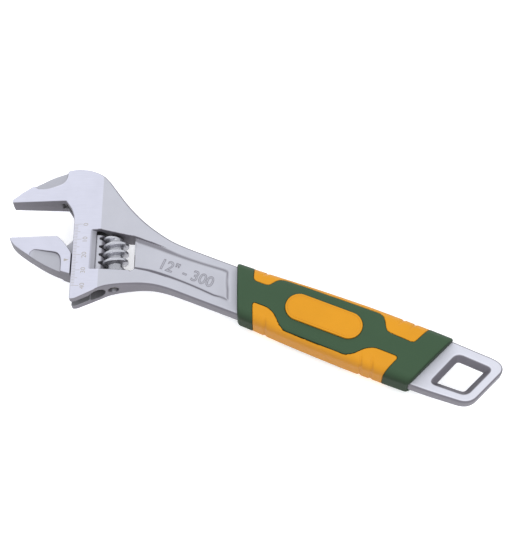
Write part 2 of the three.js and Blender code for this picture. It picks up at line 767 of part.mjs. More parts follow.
// ---- assembly ----

const head = new THREE.Group();
head.rotation.z = headAngle;
head.position.y = headOffset;
head.add(movableJaw(), worm(), wormPin(), wormSpring());

const grip = new THREE.Group();
grip.add(gripCore(), gripSleeve());

const wrench = new THREE.Group();
wrench.add(wrenchBody(), head, grip);

// The wrench lies on its back, with the middle of its footprint at the origin.
wrench.updateMatrixWorld(true);
const box = new THREE.Box3().setFromObject(wrench, true);
const centre = box.getCenter(new THREE.Vector3());
wrench.position.set(-centre.x, -centre.y, -box.min.z);

export default wrench;
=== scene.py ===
import json
import math
import bpy
import numpy as np
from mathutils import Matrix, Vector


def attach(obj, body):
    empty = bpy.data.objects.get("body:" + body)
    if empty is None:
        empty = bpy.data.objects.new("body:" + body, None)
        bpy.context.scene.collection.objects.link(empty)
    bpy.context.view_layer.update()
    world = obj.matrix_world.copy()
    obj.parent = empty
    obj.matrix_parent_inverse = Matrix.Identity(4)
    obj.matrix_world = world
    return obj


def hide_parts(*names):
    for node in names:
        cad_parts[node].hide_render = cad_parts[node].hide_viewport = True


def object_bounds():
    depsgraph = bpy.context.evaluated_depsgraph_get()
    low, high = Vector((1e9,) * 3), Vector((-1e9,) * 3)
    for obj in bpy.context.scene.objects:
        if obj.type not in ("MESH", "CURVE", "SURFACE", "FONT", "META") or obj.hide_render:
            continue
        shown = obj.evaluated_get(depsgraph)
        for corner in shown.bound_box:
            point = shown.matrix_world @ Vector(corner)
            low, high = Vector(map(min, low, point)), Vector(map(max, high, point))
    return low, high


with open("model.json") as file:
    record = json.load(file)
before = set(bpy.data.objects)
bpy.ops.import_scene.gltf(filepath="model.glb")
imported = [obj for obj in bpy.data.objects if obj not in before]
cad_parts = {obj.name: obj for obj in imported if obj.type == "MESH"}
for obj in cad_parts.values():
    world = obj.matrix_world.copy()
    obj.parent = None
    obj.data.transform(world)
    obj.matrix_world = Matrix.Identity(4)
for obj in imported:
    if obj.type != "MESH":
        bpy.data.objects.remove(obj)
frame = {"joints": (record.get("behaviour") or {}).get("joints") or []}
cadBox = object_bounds()
print("frame loaded")

# Plan directions. "along" runs from the jaw tips towards the handle, "down" is the way the moving
# jaw opens, both in the plane of the wrench. Sizes in the dictionaries are millimetres.
joints = {joint["name"]: joint for joint in frame["joints"]}
wormPlace = np.array(joints["worm_spin"]["pos_m"]) * 1000
downWay = np.array(joints["jaw_slide"]["axis"])
alongWay = np.array([-downWay[1], downWay[0], 0.0])
upWay = np.array([0.0, 0.0, 1.0])
sinHead, cosHead = downWay[0], alongWay[0]
slant = sinHead / cosHead
tiny = 1e-9

head = {
    "wormAlong": 24.6,        # worm axis behind the front edge
    "wormDown": 34.3,         # middle of the worm below the fixed jaw's face
    "offset": 16.5,           # face line of the fixed jaw above the handle's centre line, at the origin
    "tipHalf": 4.85,          # half thickness at the jaw tips
    "ridgeHalf": 8.25,        # half thickness at the ridge
    "reach": 38.0,
    "ridge": 16.2,
    "neckControl": 43.0,
    "neckEnd": 75.0,
    "shankHalf": 4.4,
    "tabHalf": 3.95,
    "restOpening": 23.0,
}
headOrigin = wormPlace - head["wormAlong"] * alongWay - head["wormDown"] * downWay
handleOrigin = headOrigin - np.array([0.0, head["offset"], 0.0])


# A head point is headOrigin + along * alongWay + down * downWay + height * upWay.
def fromHead(points):
    ways = np.stack([alongWay, downWay, upWay])
    return headOrigin + points @ ways


def fromHandle(points):
    return handleOrigin + points


# Handle plan coordinates turned into head plan coordinates.
def toHead(points):
    x, y = points[:, 0], points[:, 1] - head["offset"]
    return np.stack([x * cosHead + y * sinHead, x * sinHead - y * cosHead], axis=1)


# ---- curves ----

# Catmull-Rom curve through the points: 0.5 * (2b + (c - a)t + (2a - 5b + 4c - d)t^2 + (3b - a - 3c + d)t^3).
def smoothRun(points, steps=6):
    p = np.array(points, float)
    ends = np.vstack([2 * p[0] - p[1], p, 2 * p[-1] - p[-2]])
    a, b, c, d = (ends[i:len(ends) - 3 + i, None, :] for i in range(4))
    t = (np.arange(steps) / steps)[None, :, None]
    run = 0.5 * (2 * b + (c - a) * t + (2 * a - 5 * b + 4 * c - d) * t**2 + (3 * b - a - 3 * c + d) * t**3)
    return np.vstack([run.reshape(-1, 2), p[-1:]])


# Bezier corner from a to c that aims at b: (1 - t)^2 a + 2t(1 - t) b + t^2 c.
def bend(a, b, c, steps=8):
    t = np.linspace(0, 1, steps + 1)[:, None]
    return (1 - t)**2 * np.array(a) + 2 * t * (1 - t) * np.array(b) + t**2 * np.array(c)


# Closed outline whose corners are bends that start the given length before each corner.
def roundedOutline(corners, length):
    p = np.array(corners, float)
    before, after = np.roll(p, 1, axis=0) - p, np.roll(p, -1, axis=0) - p
    cut = np.broadcast_to(np.array(length, float), (len(p),))[:, None]
    enter = p + before / np.linalg.norm(before, axis=1, keepdims=True) * cut
    leave = p + after / np.linalg.norm(after, axis=1, keepdims=True) * cut
    return np.vstack([bend(e, c, l) for e, c, l in zip(enter, p, leave)])


# ---- distance formulas: negative inside the metal, positive outside ----

# Distance to the nearest side of a closed outline, negative where a ray crosses an odd number of sides.
def outlineDistance(u, v, outline):
    grid = np.broadcast(u, v).shape
    pu = np.broadcast_to(u, grid).reshape(-1, 1)
    pv = np.broadcast_to(v, grid).reshape(-1, 1)
    au, av = outline[:, 0], outline[:, 1]
    eu, ev = np.roll(au, -1) - au, np.roll(av, -1) - av
    size = eu * eu + ev * ev + tiny
    parts = []
    for first in range(0, len(pu), 20000):
        du, dv = pu[first:first + 20000] - au, pv[first:first + 20000] - av
        t = np.clip((du * eu + dv * ev) / size, 0, 1)
        near = np.sqrt(((du - t * eu)**2 + (dv - t * ev)**2).min(axis=1))
        crosses = ((dv < 0) != (dv < ev)) & (du < dv * eu / np.where(ev == 0, tiny, ev))
        parts.append(np.where(crosses.sum(axis=1) % 2 == 1, -near, near))
    return np.concatenate(parts).reshape(grid)


# An outline's distance worked out once on a plan grid, then read between its four nearest values.
def planTable(outline, margin=3.0, gap=0.25):
    low, high = outline.min(axis=0) - margin, outline.max(axis=0) + margin
    lines = [np.arange(low[i], high[i] + gap, gap) for i in range(2)]
    table = outlineDistance(lines[0][:, None], lines[1][None, :], outline)

    def read(u, v):
        i = np.clip((u - low[0]) / gap, 0, len(lines[0]) - 1.001)
        j = np.clip((v - low[1]) / gap, 0, len(lines[1]) - 1.001)
        a, b = i.astype(int), j.astype(int)
        s, t = i - a, j - b
        near = table[a, b] * (1 - t) + table[a, b + 1] * t
        return near * (1 - s) + (table[a + 1, b] * (1 - t) + table[a + 1, b + 1] * t) * s

    return read


# Where two bodies cut each other, with a round edge:
# min(-r, max(a, b)) + length(max(a + r, 0), max(b + r, 0)).
def keepBoth(a, b, radius):
    beyond = np.hypot(np.maximum(a + radius, 0), np.maximum(b + radius, 0))
    return np.minimum(-radius, np.maximum(a, b)) + beyond


# Body a with b taken out of it, and b joined to it, both with the same round edge or fillet.
def takeOut(a, b, radius):
    return keepBoth(a, -b, radius)


def joinUp(a, b, radius):
    return -keepBoth(-a, -b, radius)


def easeStep(x, low, high):
    t = np.clip((x - low) / (high - low), 0, 1)
    return t * t * (3 - 2 * t)


# ---- from a distance formula to a mesh ----

# Surface net: one vertex in each grid cell that the zero surface crosses, at the mean of its edge crossings,
# and one four-sided face round each grid edge that it crosses. Each vertex p is then moved by -f g / |g|^2.
def netSurface(field, axes, place, mirrored, refine=3):
    lines = [np.asarray(axis, float) for axis in axes]
    values = np.array(field(lines[0][:, None, None], lines[1][None, :, None], lines[2][None, None, :]))
    inside = values < 0
    n = values.shape
    corners = [(i, j, k) for i in (0, 1) for j in (0, 1) for k in (0, 1)]
    count = sum(inside[i:n[0] - 1 + i, j:n[1] - 1 + j, k:n[2] - 1 + k].astype(np.int8) for i, j, k in corners)
    cells = np.argwhere((count > 0) & (count < 8))
    number = np.full([m - 1 for m in n], -1, np.int64)
    number[tuple(cells.T)] = np.arange(len(cells))
    total, hits = np.zeros((len(cells), 3)), np.zeros((len(cells), 1))
    for axis in range(3):
        step = np.eye(3, dtype=int)[axis]
        for start in corners:
            if start[axis] == 0:
                low = cells + start
                high = low + step
                one, two = values[tuple(low.T)], values[tuple(high.T)]
                crossing = (one < 0) != (two < 0)
                share = np.where(crossing, one / np.where(crossing, one - two, 1), 0)[:, None]
                total += np.where(crossing[:, None], low + share * step, 0)
                hits += crossing[:, None]
    index = total / hits
    points = np.stack([np.interp(index[:, i], np.arange(n[i]), lines[i]) for i in range(3)], axis=1)
    reach = 0.35 * np.stack([np.diff(lines[i])[cells[:, i]] for i in range(3)], axis=1).min(axis=1)
    for _ in range(refine):
        value, slope = fieldSlope(field, points)
        move = -value[:, None] * slope / (np.sum(slope**2, axis=1, keepdims=True) + tiny)
        size = np.linalg.norm(move, axis=1) + tiny
        points = points + move * np.minimum(1, reach / size)[:, None]
    faces = np.vstack([crossedEdges(inside, number, axis) for axis in range(3)])
    normals = fieldSlope(field, points)[1]
    normals = place(points + normals) - place(points)
    normals /= np.linalg.norm(normals, axis=1, keepdims=True) + tiny
    return place(points), faces[:, ::-1] if mirrored else faces, normals


# Value and central-difference slope of a distance formula at a list of points.
def fieldSlope(field, points, step=0.04):
    shift = step * np.vstack([np.zeros((1, 3)), np.eye(3), -np.eye(3)])
    spots = (points[None] + shift[:, None]).reshape(-1, 3)
    values = field(spots[:, 0], spots[:, 1], spots[:, 2]).reshape(7, -1)
    return values[0], ((values[1:4] - values[4:7]) / (2 * step)).T


# The four cells round each grid edge along one axis whose two ends lie on opposite sides of the surface.
def crossedEdges(inside, number, axis):
    order = np.roll(np.arange(3), -axis)
    flags, cell = inside.transpose(order), number.transpose(order)
    low, high = flags[:-1, 1:-1, 1:-1], flags[1:, 1:-1, 1:-1]
    i, j, k = np.nonzero(low != high)
    quads = np.stack([cell[i, j, k], cell[i, j + 1, k], cell[i, j + 1, k + 1], cell[i, j, k + 1]], axis=1)
    return np.where(low[i, j, k][:, None], quads, quads[:, ::-1])


# Grid lines: one spacing over each stretch given as (from, to, spacing).
def gridLine(*stretches):
    runs = [np.arange(low, high, gap) for low, high, gap in stretches]
    return np.concatenate(runs + [[stretches[-1][1]]])


# Arrays of points in millimetres and of faces become an object that rides on a CAD body.
def addPiece(name, points, faces, body, replaced, normals=None):
    mesh = bpy.data.meshes.new(name)
    mesh.vertices.add(len(points))
    mesh.vertices.foreach_set("co", (points / 1000).ravel())
    sides = faces.shape[1]
    mesh.loops.add(faces.size)
    mesh.loops.foreach_set("vertex_index", faces.ravel().astype(np.int32))
    mesh.polygons.add(len(faces))
    mesh.polygons.foreach_set("loop_start", np.arange(0, faces.size, sides, dtype=np.int32))
    mesh.polygons.foreach_set("use_smooth", np.ones(len(faces), bool))
    mesh.update(calc_edges=True)
    mesh.validate()
    if normals is not None:
        mesh.normals_split_custom_set_from_vertices(normals.tolist())
    piece = bpy.data.objects.new(name, mesh)
    bpy.context.scene.collection.objects.link(piece)
    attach(piece, body)
    if replaced:
        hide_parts(*replaced)
    print("piece", name, len(points), "points", len(faces), "faces")
    return piece


# Closed tube or ring of a grid of points [row, column]: columns wrap, rows wrap too or end in two points.
def gridFaces(rows, columns, wrapRows):
    r = np.arange(rows if wrapRows else rows - 1)[:, None]
    c = np.arange(columns)[None, :]
    r2, c2 = (r + 1) % rows, (c + 1) % columns
    corners = [r * columns + c, r * columns + c2, r2 * columns + c2, r2 * columns + c]
    return np.stack([np.broadcast_to(corner, (len(r), columns)) for corner in corners], axis=2).reshape(-1, 4)


# ---- shared shape of the forging ----

neckCurve = bend([head["ridge"], head["ridgeHalf"]], [head["neckControl"], head["shankHalf"]],
                 [head["neckEnd"], head["shankHalf"]], 24)
wedge = (head["ridgeHalf"] - head["tipHalf"]) / (head["ridge"] + head["reach"])


# Half thickness: a wedge up to the ridge, a hollow curve down the neck, then the thin handle and its tab.
def halfThickness(along):
    front = head["ridgeHalf"] - wedge * (head["ridge"] - along)
    places = np.concatenate([neckCurve[:, 0], [120.0, 170.0]])
    heights = np.concatenate([neckCurve[:, 1], [head["shankHalf"], head["tabHalf"]]])
    return np.where(along < head["ridge"], front, np.interp(along, places, heights))


body = {
    "gridHead": 0.52,
    "gridHidden": 3.0,
    "gridHeight": 0.5,
    "headEdge": 0.5,          # rounding of the head's edges
    "handleEdge": 1.5,        # rounding of the shank's and the tab's edges
    "cutEdge": 0.3,
    "slotHalf": 3.05,
    "barrelAlong": 14.9,
    "barrelBore": 5.0,
    "rampStart": 10.5,        # the window's left wall slopes down from here
    "rampRun": 3.7,
    "rampDepth": 3.2,
    "windowTop": 19.8,
    "windowBottom": 45.3,
    "pinBore": 2.6,
    "pinTop": 14.3,
    "pinHeadBore": 3.1,
    "pinHeadTop": 48.8,
    "recessFloor": 4.97,      # height of the blasted recess floors above the mid-plane
    "recessFillet": 0.8,
    "panelFloor": 3.1,
    "panelSlope": 1.385,      # run of its walls over their depth
    "panelEndSlope": 0.6,     # how much flatter its far wall and its upper wall are
    "panelUpperSlope": 0.5,
    "holeSlope": 0.9,
    "holeThrough": 3.0,
    "gripStart": 111.3,
    "gripEnd": 229.3,
    "handleEnd": 267.6,
}

jawTip = [[-5.8, 0], [-38, 0], [-38, -2.3], [-35.8, -4.1], [-32.7, -6.6], [-28.6, -9.5], [-26.6, -10.8]]
jawBack = [[-24.9, -11.0], [-20.5, -13.4], [-16.4, -15.8], [-12.4, -17.6], [-8.3, -19.2], [-5.9, -20.0]]
headBack = [[-5.3, -20.9], [-2, -21.4], [1.8, -21.6], [7.9, -20.5], [12, -19.0], [16, -16.7], [19.9, -13],
            [23.9, -7.7], [29.8, 0.35], [34.7, 6.2], [39.7, 11.4], [44.7, 15.9]]
neckUpper = [[53.5, 17.2], [59.5, 15.8], [65, 14.95], [73, 14.5], [85, 14.4]]
neckLower = [[85, -14.4], [75, -14.55], [66.5, -15.5], [59.6, -17.5]]
footCurve = [[36, 54.3], [28, 54.9], [21, 56.2], [15.8, 58.2]]
throat = [[0, 13.5], [-0.5, 10.2], [-2.3, 5.2]]


# Plan of the steel inside the grip and of the hanging tab, upper side then lower side.
def handlePlan():
    tab = 17.2
    upper = [[body["gripStart"] - slant * 14.4, 14.4], [body["gripStart"] + 9, 12],
             [body["gripEnd"] - 8, 12], [body["gripEnd"] + slant * tab, tab]]
    end = body["handleEnd"]
    top = smoothRun([upper[3], [250, 16.5], [end - 10, 16.2]])
    low = end - slant * 20.4
    return np.vstack([
        upper[:3], top,
        bend([end - 8.5, 16.1], [end + 0.9, 15.6], [end - 0.3, 9]),
        bend([low + 0.4, -9.6], [low - 2.2, -15.8], [low - 10, -16.0]),
        smoothRun([[low - 10, -16.0], [234, -16.9], [body["gripEnd"] - slant * tab, -tab]]),
        [[body["gripEnd"] - 22, -12], [body["gripStart"] + 21, -12]],
        [[body["gripStart"] + slant * 14.4, -14.4]],
    ])


# Plan of the whole forging in head coordinates.
def bodyPlan():
    back = np.vstack([headBack, toHead(np.array(neckUpper))])
    under = np.vstack([toHead(np.array(neckLower)), footCurve])
    return np.vstack([
        jawTip, smoothRun(jawBack), smoothRun(back), toHead(handlePlan()), smoothRun(under),
        [[9.4, 61.2]], bend([3.4, 64.0], [2.4, 64.3], [1.2, 64.3], 4),
        bend([1.2, 64.3], [0, 64.3], [0, 63.1], 6), throat,
    ])


windowPlan = roundedOutline([[14.2, 45.3], [14.2, 19.8], [16.2, 19.8], [36.2, 23.5], [36.2, 45.3]],
                            [0.3, 0.3, 0.6, 0.8, 0.8])
slotPlan = np.array([[-9, 75], [-9, 0], [-7.5, -1.6], [14, -2], [14, 75]], float)
fixedRecess = np.vstack([[[-29, -16], [-25, -10.2]], smoothRun([[-22.8, -8.6], [-19, -8.7], [-15, -9.4],
                         [-10, -11.2], [-7.3, -13.2], [-6, -15.8], [-5.6, -20], [-5.4, -26]]), [[-29, -26]]])
movingRecess = np.vstack([smoothRun([[-27, 26], [-25.4, 12], [-24, 9.4], [-22, 8.5], [-16, 9.5], [-10, 10.7],
                          [-7.4, 12.6], [-6.2, 16.5], [-6, 24.5], [-5.9, 32]]), [[-27, 32]]])
panelFar = 107.2


# Plan of the sunk panel of the shank: it opens into the worm window and ends in a slanted side.
def panelPlan():
    far = roundedOutline([[panelFar - slant * 10.9, 10.9], [panelFar + slant * 9.2, -9.2],
                          [60, -9], [60, 9]], [2.6, 2.6, 0.1, 0.1])[:18]
    lower = smoothRun([[100, -9.05], [85, -8.1], [70, -7.85], [60, -8.4], [50.5, -10.3], [46, -11.7]])
    upper = smoothRun([[42.3, 8.75], [55, 9.2], [70, 9.3], [85, 9.9], [98, 10.8]])
    window = np.array([[34.5, 46.0], [34.5, 23.6]])
    return np.vstack([toHead(np.vstack([upper, far, lower])), window])


# Plan of the hanging hole at the tab's face.
holeCorners = np.array([[240.4, 11.2], [262.4, 10.0], [253.6, -11.2], [231.4, -11.8]])
holePlan = roundedOutline(toHead(holeCorners), 4.2)
print("outlines")
bodyOutline = planTable(bodyPlan())
panelOutline = planTable(panelPlan())
windowOutline = planTable(windowPlan)
slotOutline = planTable(slotPlan)
fixedOutline = planTable(fixedRecess)
holeOutline = planTable(holePlan)


rampFace = halfThickness(np.array(body["rampStart"]))


# Forging: plan and thickness cut each other with round edges, then the slot, the bores, the window, the
# recesses, the shank's panel and the hanging hole are taken out of it.
def bodyField(along, down, height):
    high = np.abs(height)
    plan = bodyOutline(along, down) + 0.02 * high
    edge = np.interp(along, [10, 17, 42], [body["headEdge"], 0.7, body["handleEdge"]])
    solid = keepBoth(plan, high - halfThickness(along), edge)
    slot = np.maximum(slotOutline(along, down), high - body["slotHalf"])
    barrel = np.maximum(np.hypot(along - body["barrelAlong"], height) - body["barrelBore"], -2 - down)
    fromPin = np.hypot(along - head["wormAlong"], height)
    pin = np.maximum(fromPin - body["pinBore"], body["pinTop"] - down)
    pinHead = np.maximum(fromPin - body["pinHeadBore"], body["pinHeadTop"] - down)
    rampSlope = body["rampDepth"] / body["rampRun"]
    ramp = rampFace - rampSlope * (along - body["rampStart"]) - high
    ramp = np.maximum(ramp / math.hypot(1, rampSlope), along - body["barrelAlong"])
    ramp = keepBoth(ramp, np.maximum(body["windowTop"] - down, down - body["windowBottom"]), 0.6)
    window = np.minimum(windowOutline(along, down), ramp)
    recess = fixedOutline(along, down) + 0.12 * (7 - high)
    recess = keepBoth(recess, body["recessFloor"] - high, body["recessFillet"])
    panel = panelOutline(along, down)
    upward = along * sinHead - down * cosHead + head["offset"]
    slope = body["panelSlope"] + body["panelEndSlope"] * easeStep(along * cosHead + down * sinHead, 99, 105)
    slope = slope + body["panelUpperSlope"] * easeStep(upward, -2, 4)
    wall = (panel + np.maximum(head["shankHalf"] + 0.25 - high, 0) * slope) / np.hypot(1, slope)
    panel = keepBoth(wall, body["panelFloor"] - high, 0.45)
    hole = holeOutline(along, down)
    slope = body["holeSlope"]
    flare = (hole + (head["tabHalf"] - high) * slope) / math.hypot(1, slope)
    hole = np.minimum(flare, hole + body["holeThrough"])
    for cut, radius in ((slot, 0.25), (barrel, 0.35), (pin, 0.3), (pinHead, 0.3), (window, 0.4),
                        (recess, body["cutEdge"]), (panel, 0.45), (hole, 0.6)):
        solid = takeOut(solid, cut, radius)
    return solid


print("wrench body")
fine, hidden = body["gridHead"], body["gridHidden"]
bodyAxes = (
    gridLine((-39.25, 112, fine), (112, 196, hidden), (196, 259, fine)),
    gridLine((-22.75, 66, fine), (66, 72, hidden), (72, 130, fine)),
    gridLine((-9.25, 9.25, body["gridHeight"])),
)
points, faces, normals = netSurface(bodyField, bodyAxes, fromHead, True)
wrenchBody = addPiece("forged_body", points, faces, "frame", ["wrench_body"], normals)

jaw = {
    "edge": 0.5,
    "webHalf": 2.75,
    "barrelRadius": 4.65,
    "barrelTop": -1.5,
    "barrelEnd": 30.5,
    "rackFlat": 18.7,         # along: the barrel is cut flat here, facing the worm
    "grid": 0.42,
}
thread = {
    "pitch": 5.25,
    "core": 4.9,
    "crest": 7.95,
    "crestHalf": 0.5,         # half width of the crest
    "rootHalf": 2.1,          # half width of the thread where it meets the core
    "crestDown": 38.9,        # a crest's place on the upper side, below the fixed jaw's face
    "grooveFrom": 5.9,        # distance from the worm's axis where the rack's grooves have their full width
    "grooveHalf": 1.8,
    "grooveTaper": 0.45,      # how fast they narrow
    "grooveDepth": 3.3,
}
jawPlan = np.vstack([
    [[-9.5, 0], [-38, 0], [-38, 0.5]],
    smoothRun([[-38, 0.5], [-36.6, 3.3], [-33, 7], [-25, 12.9], [-16.9, 18.2], [-8.8, 22.3], [-0.3, 25.4]]),
    bend([-0.3, 11.7], [-4, 4.6], [-9.5, 0], 10)[:-1],
])
webPlan = np.vstack([
    bend([-6, 6], [-1.2, 3.2], [-0.3, -0.3], 8), [[14, -0.3], [14, 31], [5, 31]],
    bend([-0.3, 25.2], [-1.5, 24], [-3.2, 22.2], 4),
])
jawOutline, webOutline, movingOutline = planTable(jawPlan), planTable(webPlan), planTable(movingRecess)


# Moving jaw: a wedge-shaped block with its recess, a thin web through the slot, and a barrel whose flat
# side has grooves that the worm's thread runs in. A groove is |s| + taper * depth - half width, with s
# measured across the groove.
def jawField(along, down, height):
    high = np.abs(height)
    plan = jawOutline(along, down) + 0.02 * high
    block = keepBoth(plan, high - halfThickness(along), jaw["edge"])
    recess = movingOutline(along, down) + 0.12 * (7 - high)
    recess = keepBoth(recess, body["recessFloor"] - high, body["recessFillet"])
    block = takeOut(block, recess, body["cutEdge"])
    web = keepBoth(webOutline(along, down), high - jaw["webHalf"], 0.3)
    barrel = np.hypot(along - body["barrelAlong"], height) - jaw["barrelRadius"]
    barrel = keepBoth(barrel, np.maximum(jaw["barrelTop"] - down, down - jaw["barrelEnd"]), 0.6)
    barrel = keepBoth(barrel, along - jaw["rackFlat"], 0.25)
    lead = thread["pitch"] / (2 * np.pi * thread["crest"])
    crest = thread["crestDown"] + thread["pitch"] / 4 - head["restOpening"]
    phase = (down - crest + height * lead) / thread["pitch"]
    sideways = (phase - np.round(phase)) * thread["pitch"] / math.hypot(1, lead)
    depth = head["wormAlong"] - thread["grooveFrom"] - along
    groove = np.abs(sideways) + thread["grooveTaper"] * depth - thread["grooveHalf"]
    groove = np.maximum(groove / math.hypot(1, thread["grooveTaper"]), depth - thread["grooveDepth"])
    barrel = takeOut(barrel, groove, 0.15)
    return joinUp(joinUp(block, web, 0.5), barrel, 0.4)


print("moving jaw")
jawGrid = jaw["grid"]
jawAxes = (gridLine((-39.1, 21, jawGrid)), gridLine((-2.8, 36, jawGrid)), gridLine((-8.82, 8.9, jawGrid)))
points, faces, normals = netSurface(jawField, jawAxes, fromHead, True)
points = points + head["restOpening"] * downWay
movingJaw = addPiece("sliding_jaw", points, faces, "jaw", ["movable_jaw"], normals)

worm = {
    "top": 11.3,              # its ends above and below its middle
    "bottom": 10.7,
    "bore": 2.6,
    "pocket": 4.15,
    "pocketDepth": 6.1,
    "threadTop": 1.0,         # crest line to the worm's upper and lower end
    "threadBottom": 2.9,
    "fade": 1.4,
    "around": 144,
    "chamfer": 0.5,
    "lowerRing": 3.4,
    "upperRing": 4.4,
}


# Radius of the worm at angle a and distance y down from its middle: core + (crest - core) (1 - ease(s)),
# where s is the distance to the nearest crest line y = crest - pitch * a / 2pi and the crest lines fade
# at both ends.
def wormRadius(angle, down):
    crest = thread["crestDown"] - head["wormDown"] - thread["pitch"] * angle / (2 * np.pi)
    nearest = crest + np.round((down - crest) / thread["pitch"]) * thread["pitch"]
    past = np.maximum(nearest - worm["bottom"] + worm["threadBottom"],
                      worm["threadTop"] - worm["top"] - nearest)
    rise = 1 - easeStep(np.abs(down - nearest), thread["crestHalf"], thread["rootHalf"])
    rise = rise * (1 - easeStep(past, 0, worm["fade"]))
    return thread["core"] + (thread["crest"] - thread["core"]) * rise


print("worm")
top, bottom = -worm["top"], worm["bottom"]
pocketFloor = top + worm["pocketDepth"]
outer = np.linspace(top, bottom, 158)
edges = np.stack([
    np.concatenate([outer, [bottom, bottom, 0, pocketFloor, pocketFloor, top, top]]),
    np.concatenate([0 * outer, [1, 2, 2, 2, 3, 3, 4]]),
])
angle = np.arange(worm["around"]) * 2 * np.pi / worm["around"]
down, kind = edges[0][:, None], edges[1][:, None]
skin = wormRadius(angle[None, :], down)
skin = skin - worm["chamfer"] * easeStep(np.maximum(down - bottom, top - down), -0.6, 0)
radius = np.where(kind == 2, worm["bore"], worm["pocket"])
radius = np.where(kind == 0, skin, np.where(kind == 1, worm["lowerRing"], radius))
radius = np.where(kind == 4, worm["upperRing"], radius)
ring = np.stack([
    head["wormAlong"] + radius * np.sin(angle), head["wormDown"] + down + 0 * angle, radius * np.cos(angle),
], axis=2)
faces = gridFaces(len(edges[0]), worm["around"], True)
wormPiece = addPiece("knurl_worm", fromHead(ring.reshape(-1, 3)), faces, "worm", ["worm"])

pin = {
    "radius": 2.3,
    "top": 14.7,
    "headRadius": 2.8,
    "headTop": 49.1,
    "end": 53.6,
    "slotHalf": 0.45,
    "slotDepth": 1.1,
}


# Pin with a slotted screw head: two cylinders joined, rounded at the ends, less the driver slot.
def pinField(along, down, height):
    away = np.hypot(along - head["wormAlong"], height)
    shank = keepBoth(away - pin["radius"], pin["top"] - down, 0.4)
    shank = np.maximum(shank, down - pin["end"] + 1)
    knob = keepBoth(away - pin["headRadius"], np.abs(down - (pin["headTop"] + pin["end"]) / 2)
                    - (pin["end"] - pin["headTop"]) / 2, 0.35)
    slot = np.maximum(np.abs(height) - pin["slotHalf"], pin["end"] - pin["slotDepth"] - down)
    return takeOut(joinUp(shank, knob, 0.1), slot, 0.08)


print("pin and spring")
pinAxes = (gridLine((21.3, 27.9, 0.2)), gridLine((14.1, 48.5, 0.5), (48.5, 54.2, 0.2)),
           gridLine((-3.3, 3.3, 0.2)))
points, faces, normals = netSurface(pinField, pinAxes, fromHead, True)
pinPiece = addPiece("worm_axle_pin", points, faces, "frame", ["worm_pin"], normals)

spring = {"radius": 3.4, "wire": 0.45, "top": 21.9, "bottom": 28.6, "turns": 4, "steps": 40, "sides": 12}
turn = np.linspace(0, 2 * np.pi * spring["turns"], spring["turns"] * spring["steps"])
turn = np.concatenate([turn[:1], turn, turn[-1:]])
side = np.arange(spring["sides"]) * 2 * np.pi / spring["sides"]
wire = np.full(len(turn), spring["wire"])
wire[[0, -1]] = 0.02
rise = (spring["bottom"] - spring["top"]) * turn / turn[-1]
wide = spring["radius"] + wire[:, None] * np.cos(side)
coil = np.stack([
    head["wormAlong"] + wide * np.sin(turn)[:, None],
    spring["bottom"] - rise[:, None] + wire[:, None] * np.sin(side),
    wide * np.cos(turn)[:, None],
], axis=2)
# rows run along the wire from one closed tip to the other
faces = gridFaces(len(turn), spring["sides"], False)
springPiece = addPiece("worm_spring_coil", fromHead(coil.reshape(-1, 3)), faces, "frame",
                       ["worm_spring"])

grip = {
    "halfHeight": 12.3,
    "crown": 1.3,
    "corner": 5.6,            # rounding of the long edges
    "endRound": 1.9,
    "skin": 3.0,              # thickness of the soft sleeve
    "yellowDrop": 0.12,       # how far the panels lie below the sleeve
    "edge": 0.35,
    "badgeX": 164.2,
    "badgeY": 0.4,
    "badgeLength": 45.5,
    "badgeWidth": 16.3,
    "badgeTop": 12.75,
    "badgeRim": 0.9,
    "badgeSink": 0.35,
    "sleeveGrid": 0.55,
    "coreGrid": 0.6,
}
gripWidths = smoothRun([[96, 15.6], [108, 15.9], [125, 16.4], [150, 17.6], [170, 18.25], [190, 18.6],
                        [215, 18.35], [230, 18.0], [245, 17.6]])
upperCorners = [[112.3, 26], [118.8, 6.4], [128.2, 6.4], [131.5, 12], [135, 14], [193, 14.8], [196, 13],
                [200, 5.3], [216.3, 4.3], [225.5, 26]]
upperPanel = planTable(roundedOutline(upperCorners, [0.5, 2.4, 2.4, 1.8, 2, 1.4, 1.4, 2.4, 2.4, 0.5]))
lowerCorners = [[202.5, -28], [211.5, -6.6], [197, -6.4], [192, -9], [187.5, -13.8], [183, -15.9],
                [146, -15.1], [142.5, -13.2], [137.5, -8.3], [132.5, -6.3], [123.4, -6.3], [132.5, -28]]
lowerPanel = planTable(roundedOutline(lowerCorners,
                                      [0.5, 2.4, 2.4, 2.6, 2.0, 1.8, 1.8, 1.8, 2.4, 2.2, 2.4, 0.5]))
fingerGrooves = ((124.5, 1), (206, 1), (213, 1), (135, -1), (192.7, -1), (199.3, -1))


# Outer form of the grip: a rounded box section whose width follows gripWidths, crowned on both faces and cut
# by two slanted ends.
def gripForm(x, y, z):
    wide = np.interp(x, gripWidths[:, 0], gripWidths[:, 1])
    r = grip["corner"]
    across = np.abs(y) - (wide - r)
    crown = grip["crown"] * np.clip(np.abs(y) / (wide - r), 0, 1.6)**2
    upright = np.abs(z) + crown - (grip["halfHeight"] - r)
    section = np.hypot(np.maximum(across, 0), np.maximum(upright, 0))
    section = section + np.minimum(np.maximum(across, upright), 0) - r
    front = (body["gripStart"] - x) * cosHead - y * sinHead
    rear = (x - body["gripEnd"]) * cosHead - y * sinHead
    return section, np.maximum(front, rear)


# Distance to the badge's outline: length(max(|x - middle| - straight, 0), y - middle) - width / 2.
def badgeDistance(x, y):
    straight = (grip["badgeLength"] - grip["badgeWidth"]) / 2
    away = np.maximum(np.abs(x - grip["badgeX"]) - straight, 0)
    return np.hypot(away, y - grip["badgeY"]) - grip["badgeWidth"] / 2


